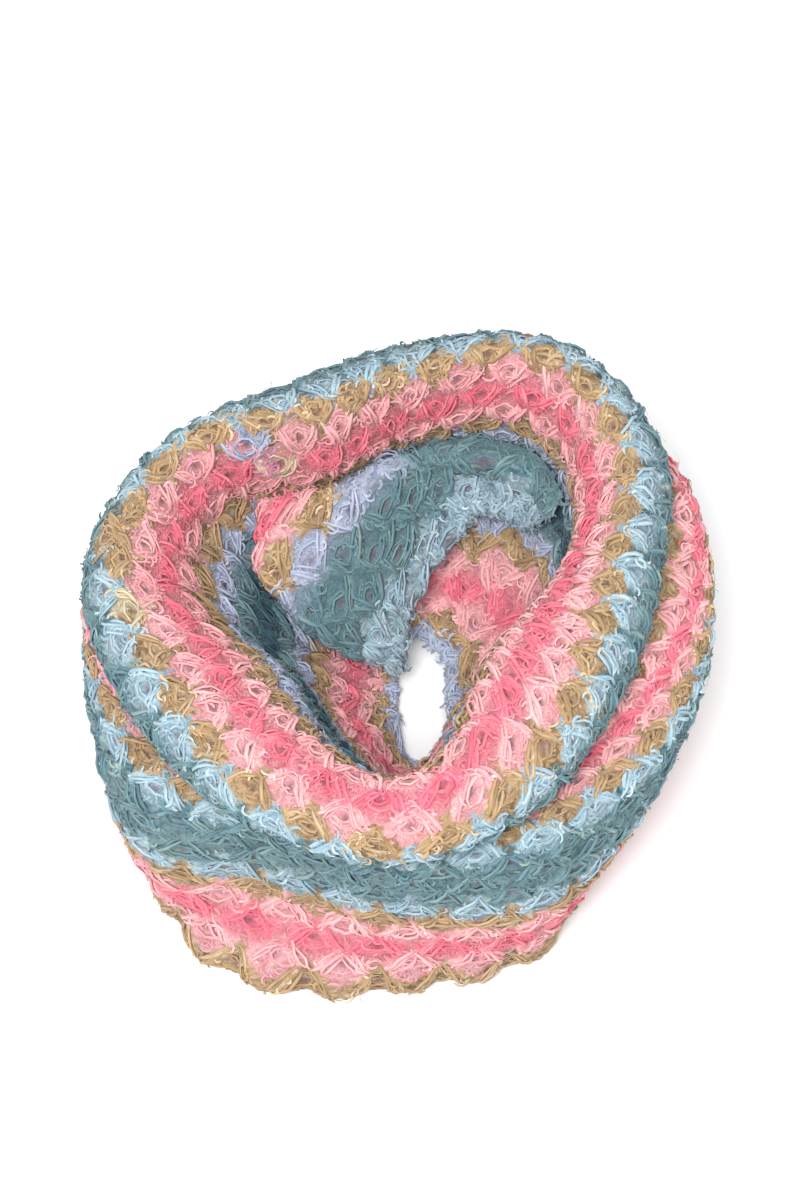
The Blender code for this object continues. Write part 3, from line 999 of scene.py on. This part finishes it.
def edge_cord(surface, steps, keep_on, start, end, names):
    """A scalloped cord along a line from start to end, as one short length for each name."""
    count = len(names)
    yarn = np.array([YARN_NAMES.index(name) for name in names])
    travel = np.linspace(-EDGE_OVERLAP, 1 + EDGE_OVERLAP, EDGE_POINTS)
    share = (np.arange(count)[:, None] + travel) / count
    place = start[0] + (end[0] - start[0]) * share
    number = start[1] + (end[1] - start[1]) * share
    place, number = keep_on(place, number)
    lift = EDGE_FOOT + EDGE_RISE * np.sin(math.pi * travel)
    lift = lift + rng.normal(0, EDGE_UNEVEN, (count, 1))
    return lay_yarn(surface, steps, place, number, lift, yarn, np.ones(EDGE_POINTS),
                    EDGE_PLIES, EDGE_THICKNESS)


edges = {}
for node, start, end, names in EDGES:
    net = (cloth, TUBE_STEPS, on_tube)
    if node == "lapped_fold":
        net = (fold_by_round, FOLD_STEPS, on_fold)
    edges.setdefault(node, []).append(edge_cord(*net, start, end, names))
for node, parts in edges.items():
    points, faces, colours, fibre, roots = join(parts)
    name = node.split("_")[-1] + "_edge_stitches"
    stitches[node].append(mesh_piece(name, points, faces, colours, strand_yarn, fibre))
    hair_roots[name] = roots
    print(name, 2 * len(faces), "triangles")

# %% [markdown]
# ## The ground between the stitches
# Under the stitches lies the body of the cloth, which closes it and shows on its wrong side. It
# could be the plain wall, but that is thicker than the yarn leaves room for. So a thin shell on
# the same surface stands for it, in the colours of the same rounds, darkened as painted shade
# because it lies under the stitches. The stitches go with this sheet of cloth.

# %% Ground cloth
GROUND_THICKNESS = 1.2
# Painted shade: the ground takes this share of its round's colour, as it lies under the stitches.
GROUND_PAINTED_SHADE = 0.92


def ground_cloth(name, points, number, closed):
    """A thin shell of cloth on a grid of points, painted by the numbers of its rounds."""
    points[..., 2] = np.maximum(points[..., 2], GROUND_THICKNESS / 2)
    colours = SHADES[yarn_of_round(np.ceil(number.ravel())), 0] * GROUND_PAINTED_SHADE
    piece = mesh_piece(name, points.reshape(-1, 3), grid_faces(number.shape, closed), colours,
                       felted_yarn)
    wall = piece.modifiers.new("thin cloth", "SOLIDIFY")
    wall.thickness = GROUND_THICKNESS * MM
    wall.offset = 0.0
    return piece


GROUND_GAP = 0.03
GROUND_COLUMNS = 240
# The table of the fold's rounds has more rows than the cloths need, so some are left out.
GROUND_ROW_STEP, MAT_ROW_STEP = 3, 2
GROUND = (
    # piece            node             first place  last place
    ("wall_cloth", "outer_wall", 0.05, WALL_END - GROUND_GAP),
    ("collar_cloth", "rolled_collar", WALL_END + GROUND_GAP, COLLAR_END - GROUND_GAP),
    ("funnel_cloth", "inner_funnel", COLLAR_END + GROUND_GAP, TUBE_END),
)
cloths = {}
azimuths = np.arange(GROUND_COLUMNS) * 360 / GROUND_COLUMNS
for name, node, first_place, last_place in GROUND:
    count = round(last_place - first_place) + 1
    turn, lies = np.meshgrid(azimuths, np.linspace(first_place, last_place, count))
    cloths[node] = ground_cloth(name, tube(turn, lies), number_at(turn, lies), True)
FOLD_COLUMNS, FOLD_ROWS = np.array(FOLD_ROUNDS.shape) - 1
columns, steps = np.meshgrid(np.arange(FOLD_COLUMNS + 1),
                             np.arange(0, FOLD_ROWS + 1, GROUND_ROW_STEP))
cloths["lapped_fold"] = ground_cloth("fold_cloth",
                                     fold(columns / FOLD_COLUMNS, steps / FOLD_ROWS),
                                     FOLD_ROUNDS[columns, steps], False)
print("ground cloth:", [piece.name for piece in cloths.values()])

# %% [markdown]
# ## Matted yarn under the strands
# Brushed yarn felts together, so the gaps between the strands are full of fuzz in the same
# colour. It swells along the posts and in the knobs, and sinks at each small hole. Bump alone
# would look painted on from the side, so a height map over the ground makes it real. At every
# point it takes the highest of the ridges and knobs of the shells nearby, and the colour of the
# shell that it lies in, so the rounds meet in the same zigzag as the strands.

# %% Relief of the stitches
# Heights and widths in millimetres.
RIDGE_HEIGHT, RIDGE_WIDTH, RIDGE_EDGE = 2.2, 2.1, 1.3
KNOB_HEIGHT, KNOB_WIDTH = 2.0, 3.8
HOLE_WIDTH = 2.1
# How many rounds before and after its own a shell still reaches, and how far its colour runs
# past the ends of its posts.
REACH_BACK, REACH_AHEAD = 1.8, 1.1
END_OVERLAP = 0.05
POST_REACH = POST_LENGTH * ROUND_HEIGHT
# A shell that lies further off than this, in millimetres, doesn't colour a place.
COLOUR_REACH = 99.0


def stitch_relief(place, number, centres, centre_rounds, pitches):
    """Height over the ground, depth of the holes, and owning round at places on the cloth."""
    best = np.full(place.shape, -COLOUR_REACH)
    owner = np.ceil(number).astype(int)
    height = np.zeros(place.shape)
    hole = np.zeros(place.shape)
    for row in np.unique(centre_rounds):
        near = (number > row - REACH_BACK) & (number < row + REACH_AHEAD)
        if not near.any():
            continue
        in_row = centre_rounds == row
        middle = centres[in_row]
        apart = np.abs(place[near][:, None] - middle)
        nearest = apart.argmin(axis=1)
        across = apart[np.arange(len(nearest)), nearest] / pitches[in_row][nearest]
        ahead = number[near] - row
        part = (TIP - ahead) / POST_LENGTH
        leg = (across - POST_SPREAD * np.clip(part, 0, 1) ** POST_CURVE) * SHELL_WIDTH
        from_ends = np.minimum(part, 1 - part) + END_OVERLAP
        inside = np.minimum(RIDGE_EDGE - leg, from_ends * POST_REACH)
        ridge = RIDGE_HEIGHT * np.exp(-(leg / RIDGE_WIDTH) ** 2) * post_arch(part)
        from_knob = np.hypot(across * SHELL_WIDTH, (ahead - LOOP_CENTRE) * ROUND_HEIGHT)
        knob = KNOB_HEIGHT * np.exp(-(from_knob / KNOB_WIDTH) ** 2)
        height[near] = np.maximum(height[near], np.maximum(ridge, knob))
        hole[near] = np.maximum(hole[near], np.exp(-(from_knob / HOLE_WIDTH) ** 2))
        better = inside > best[near]
        owner[near] = np.where(better, row, owner[near])
        best[near] = np.maximum(best[near], inside)
    return height, hole, owner


print("ridges", RIDGE_HEIGHT, "mm and knobs", KNOB_HEIGHT, "mm high")

# %% Colour and lift of the mat
MAT_LIFT, MAT_CLEARANCE = 0.75, 0.05
MAT_ROUGHNESS = 0.28
# How deep each hole sinks, how strongly it is painted towards a dark mauve as the shadow in it,
HOLE_DEPTH, HOLE_PAINTED_SHADOW, HOLE_RIM = 3.2, 0.86, 0.06
# and how far into a hole curls may start.
HOLE_SHADOW_COLOUR = linear("#6E4E5C")
# Painted shade: the colour in the dips, and how much lighter it gets for each millimetre of height.
DIP_PAINTED_SHADE, PAINTED_SHADE_LIFT = 0.72, 0.14
MAT_SHADES = (0.7, 0.18, 0.12)
MAT_SHADE_CHANGE = (0.93, 1.07)
# Pink and rose melt into each other along the yarn, and so do the blues. Tan starts sharply.
SOFT_SHARE = 0.65
SOFT_PAIR = np.zeros((len(YARN_NAMES), len(YARN_NAMES)))
for family in (("pink", "rose"), ("teal", "navy", "lavender")):
    for first in family:
        for second in family:
            SOFT_PAIR[YARN_NAMES.index(first), YARN_NAMES.index(second)] = 1.0


def matted_yarn(name, points, normals, number, yarn, relief, closed):
    """A lumpy skin over the ground on a grid of points, with painted shade in its dips and holes.
    """
    height, hole, owner = relief
    lift = MAT_LIFT + height - HOLE_DEPTH * hole + rng.normal(0, MAT_ROUGHNESS, height.shape)
    lift = np.maximum(lift, GROUND_THICKNESS / 2 + MAT_CLEARANCE)
    lift[0] = lift[-1] = 0.0
    if not closed:
        lift[:, 0] = lift[:, -1] = 0.0
    points = points + lift[..., None] * normals
    points[..., 2] = np.maximum(points[..., 2], FLOOR_CLEARANCE)
    pick = rng.choice(3, height.shape, p=MAT_SHADES)
    # Painted shade: darker in the dips, lighter on the ridges and knobs.
    shade = np.clip(DIP_PAINTED_SHADE + PAINTED_SHADE_LIFT * height, 0, 1.0)
    shade = shade * rng.uniform(*MAT_SHADE_CHANGE, height.shape)
    own = SHADES[yarn, pick]
    middle = number + SHELL_MIDDLE
    below, above = (yarn_of_round(np.floor(middle + step)) for step in (0, 1))
    rise = (middle - np.floor(middle))[..., None]
    soft = SHADES[below, 0] * (1 - rise) + SHADES[above, 0] * rise
    melted = SOFT_PAIR[below, above][..., None] * SOFT_SHARE
    colours = (own * (1 - melted) + soft * melted) * shade[..., None]
    # Painted shadow: each small hole is darkened towards a dark mauve.
    hole_shadow = HOLE_PAINTED_SHADOW * hole[..., None]
    colours = np.clip(colours * (1 - hole_shadow) + HOLE_SHADOW_COLOUR * hole_shadow, 0, 1)
    ahead = unit(np.gradient(points, axis=0))
    roots = np.concatenate([points, ahead, normals, colours], axis=-1)[hole < HOLE_RIM]
    piece = mesh_piece(name, points.reshape(-1, 3), grid_faces(height.shape, closed),
                       colours.reshape(-1, 3), felted_yarn)
    return piece, roots


print("pink and rose melt over", SOFT_SHARE, "of the way")

# %% Lay the mat on the tube
MAT_ROWS = 7
MAT_COLUMNS = (420, 420, 240)
# The places are repeated a turn before and after, so that the mat closes at the front.
ring_centres = np.concatenate([place - 360, place, place + 360])
ring_rounds = np.tile(number, 3)
ring_pitches = np.tile(pitch, 3)
curl_roots = {}
for (name, node, first_place, last_place), columns in zip(GROUND, MAT_COLUMNS):
    count = round((last_place - first_place) * MAT_ROWS) + 1
    turn, lies = np.meshgrid(np.arange(columns) * 360 / columns,
                             np.linspace(first_place, last_place, count))
    numbers = number_at(turn, lies)
    relief = stitch_relief(turn, numbers, ring_centres, ring_rounds, ring_pitches)
    piece, roots = matted_yarn(name.replace("cloth", "mat"), tube(turn, lies),
                               facing(tube, turn, lies), numbers,
                               yarn_on_tube(turn, relief[2]), relief, True)
    stitches[node].append(piece)
    curl_roots[node] = roots
    print(piece.name, 2 * len(piece.data.polygons), "triangles")

# %% Lay the mat on the fold
FOLD_STEP = FOLD_STEPS[0]
FOLD_RIM = 0.005
columns, steps = np.meshgrid(np.arange(FOLD_COLUMNS + 1),
                             np.arange(0, FOLD_ROWS + 1, MAT_ROW_STEP))
across, down = columns / FOLD_COLUMNS, steps / FOLD_ROWS
fold_numbers = FOLD_ROUNDS[columns, steps]
relief = stitch_relief(across, fold_numbers, places, rounds,
                       np.full(len(places), 1 / FOLD_FANS))
fold_normals = facing(fold, np.clip(across, FOLD_RIM, 1 - FOLD_RIM),
                      np.clip(down, FOLD_RIM, 1 - FOLD_RIM), FOLD_STEP, FOLD_STEP)
piece, roots = matted_yarn("fold_mat", fold(across, down), fold_normals, fold_numbers,
                           yarn_of_round(relief[2]), relief, False)
stitches["lapped_fold"].append(piece)
curl_roots["lapped_fold"] = roots
print(piece.name, 2 * len(piece.data.polygons), "triangles")

# %% [markdown]
# ## Curls and loose fibres
# The yarn is crimped, and brushing pulls small curls of it out all over the surface. They
# soften every edge and hide the smooth ground. Each is a curved ribbon that lies flat on the
# matted yarn in its colour. Finer hairs start on the plies, and a few of these stand up as a
# halo. Hair particles would do, but one mesh of ribbons travels to any program. A real fibre is
# about 0.04 mm thick, so each ribbon stands for a small lock of them.

# %% Curls
RIBBON_POINTS = 5
RIBBON_LIFT = 0.1
RIBBON_STRAY = 0.55
RIBBON_RISE = 0.8
RIBBON_TIP = 0.5
RIBBON_SHADE = (0.84, 0.98)
# Radians that a ribbon turns from end to end.
CURL_TURN = (0.9, 2.7)
CURLS = {"outer_wall": 15500, "rolled_collar": 13000, "inner_funnel": 6000, "lapped_fold": 2600}
HAIRS_PER_ROOT = 0.13
# Widths, radii and arch in millimetres, and the share that stands up.
HAIR_FORM = {"widths": (0.25, 0.4), "curl_radius": (1.0, 3.0), "arch": 0.3,
             "standing_share": 0.08}
CURL_FORM = {"widths": (0.7, 1.35), "curl_radius": (1.2, 3.0), "arch": 0.6,
             "standing_share": 0.0}


def ribbons(name, roots, count, widths, curl_radius, arch, standing_share):
    """Curved ribbons from roots; each lies along the cloth or stands up from it."""
    root, ahead, out, colour = np.split(roots[rng.integers(0, len(roots), count)], 4, axis=1)
    forth = rng.choice([-1.0, 1.0], (count, 1))
    direction = ahead * forth + rng.normal(0, RIBBON_STRAY, root.shape)
    direction = unit(direction - np.sum(direction * out, axis=1, keepdims=True) * out)
    bend = np.cross(out, direction) * rng.choice([-1.0, 1.0], (count, 1))
    standing = rng.uniform(0, 1, (count, 1)) < standing_share
    direction = unit(direction + np.where(standing, RIBBON_RISE, 0.0) * out)
    radius = rng.uniform(*curl_radius, (count, 1, 1))
    travel = np.linspace(0, 1, RIBBON_POINTS)[:, None]
    turn = rng.uniform(*CURL_TURN, (count, 1, 1)) * travel
    path = (root[:, None] + radius * np.sin(turn) * direction[:, None]
            + radius * (1 - np.cos(turn)) * bend[:, None]
            + (arch * np.sin(math.pi * travel) + RIBBON_LIFT) * out[:, None])
    tangent = np.cos(turn) * direction[:, None] + np.sin(turn) * bend[:, None]
    taper = RIBBON_TIP + (1 - RIBBON_TIP) * np.sin(math.pi * travel)
    width = rng.uniform(*widths, (count, 1, 1)) / 2 * taper
    side = unit(np.cross(out[:, None], tangent)) * width
    edge = np.stack([path - side, path + side], axis=2)
    edge[..., 2] = np.maximum(edge[..., 2], FLOOR_CLEARANCE)
    index = np.arange(count * RIBBON_POINTS * 2).reshape(count, RIBBON_POINTS, 2)
    faces = np.stack([index[:, :-1, 0], index[:, :-1, 1], index[:, 1:, 1], index[:, 1:, 0]], -1)
    colour = colour * rng.uniform(*RIBBON_SHADE, (count, 1))
    painted = np.repeat(np.clip(colour, 0, 1), RIBBON_POINTS * 2, axis=0)
    piece = mesh_piece(name, edge.reshape(-1, 3), faces.reshape(-1, 4), painted, loose_yarn)
    print(name, 2 * len(piece.data.polygons), "triangles")
    return piece


for node, pieces in stitches.items():
    for piece in [piece for piece in pieces if "stitches" in piece.name]:
        roots = hair_roots[piece.name]
        pieces.append(ribbons(piece.name.replace("stitches", "halo"), roots,
                              round(len(roots) * HAIRS_PER_ROOT), **HAIR_FORM))
    pieces.append(ribbons(node + "_curls", curl_roots[node], CURLS[node], **CURL_FORM))

# %% [markdown]
# ## The floor
# A plain pale sheet, like the white board under a product photo. A curved backdrop would do
# too, but the camera looks down so steeply that a flat one fills the view.

# %% Floor
FLOOR_HALF = 3.0  # metres
BOARD_GRAIN = 0.025  # metres, the size of its faint clouds
BOARD_TINT, BOARD_ROUGHNESS = (0.93, 0.95), 0.8
floor_mesh = bpy.data.meshes.new("floor")
corners = [(x * FLOOR_HALF, y * FLOOR_HALF, 0) for x, y in ((-1, -1), (1, -1), (1, 1), (-1, 1))]
floor_mesh.from_pydata(corners, [], [(0, 1, 2, 3)])
floor = bpy.data.objects.new("floor", floor_mesh)
bpy.context.scene.collection.objects.link(floor)
# Matt white board: coated card with a faint grain and no shine.
board = bpy.data.materials.new("matt white board")
board.use_nodes = True
board_shader = board.node_tree.nodes["Principled BSDF"]
board_grain = add_node(board.node_tree, "ShaderNodeTexNoise", {"Scale": 1 / BOARD_GRAIN})
board_tint = add_node(board.node_tree, "ShaderNodeMapRange",
                      {"To Min": BOARD_TINT[0], "To Max": BOARD_TINT[1]},
                      {"Value": board_grain.outputs["Fac"]})
board.node_tree.links.new(board_tint.outputs["Result"], board_shader.inputs["Base Color"])
board_shader.inputs["Roughness"].default_value = BOARD_ROUGHNESS
floor_mesh.materials.append(board)
print("floor", 2 * FLOOR_HALF, "m wide")

# %% [markdown]
# ## Bodies
# Each piece is told which body it rides on, and the plain solid that it stands for is hidden.
# Nothing moves here, so one body carries all. The table gives each cloth's size, laid out flat,
# and how it is held.

# %% Attach the pieces
SHEETS = {
    # node            flat width and length in metres, and how the cloth is held
    "outer_wall": ((0.66, 0.181), "draped"),
    "rolled_collar": ((0.56, 0.121), "draped"),
    "inner_funnel": ((0.30, 0.086), "gathered"),
    "lapped_fold": ((0.13, 0.075), "folded"),
}
for node, ((width, length), held) in SHEETS.items():
    thin_cloth = cloths[node]
    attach(thin_cloth, "root")
    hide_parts(node)
    for piece in stitches[node]:
        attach(piece, "root")
        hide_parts(node)
    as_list(stitches[node])

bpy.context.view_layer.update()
triangles = sum(2 * len(item.data.polygons) for item in bpy.data.objects
                if item.type == "MESH")
print("about", triangles, "triangles before the cloths are thickened")
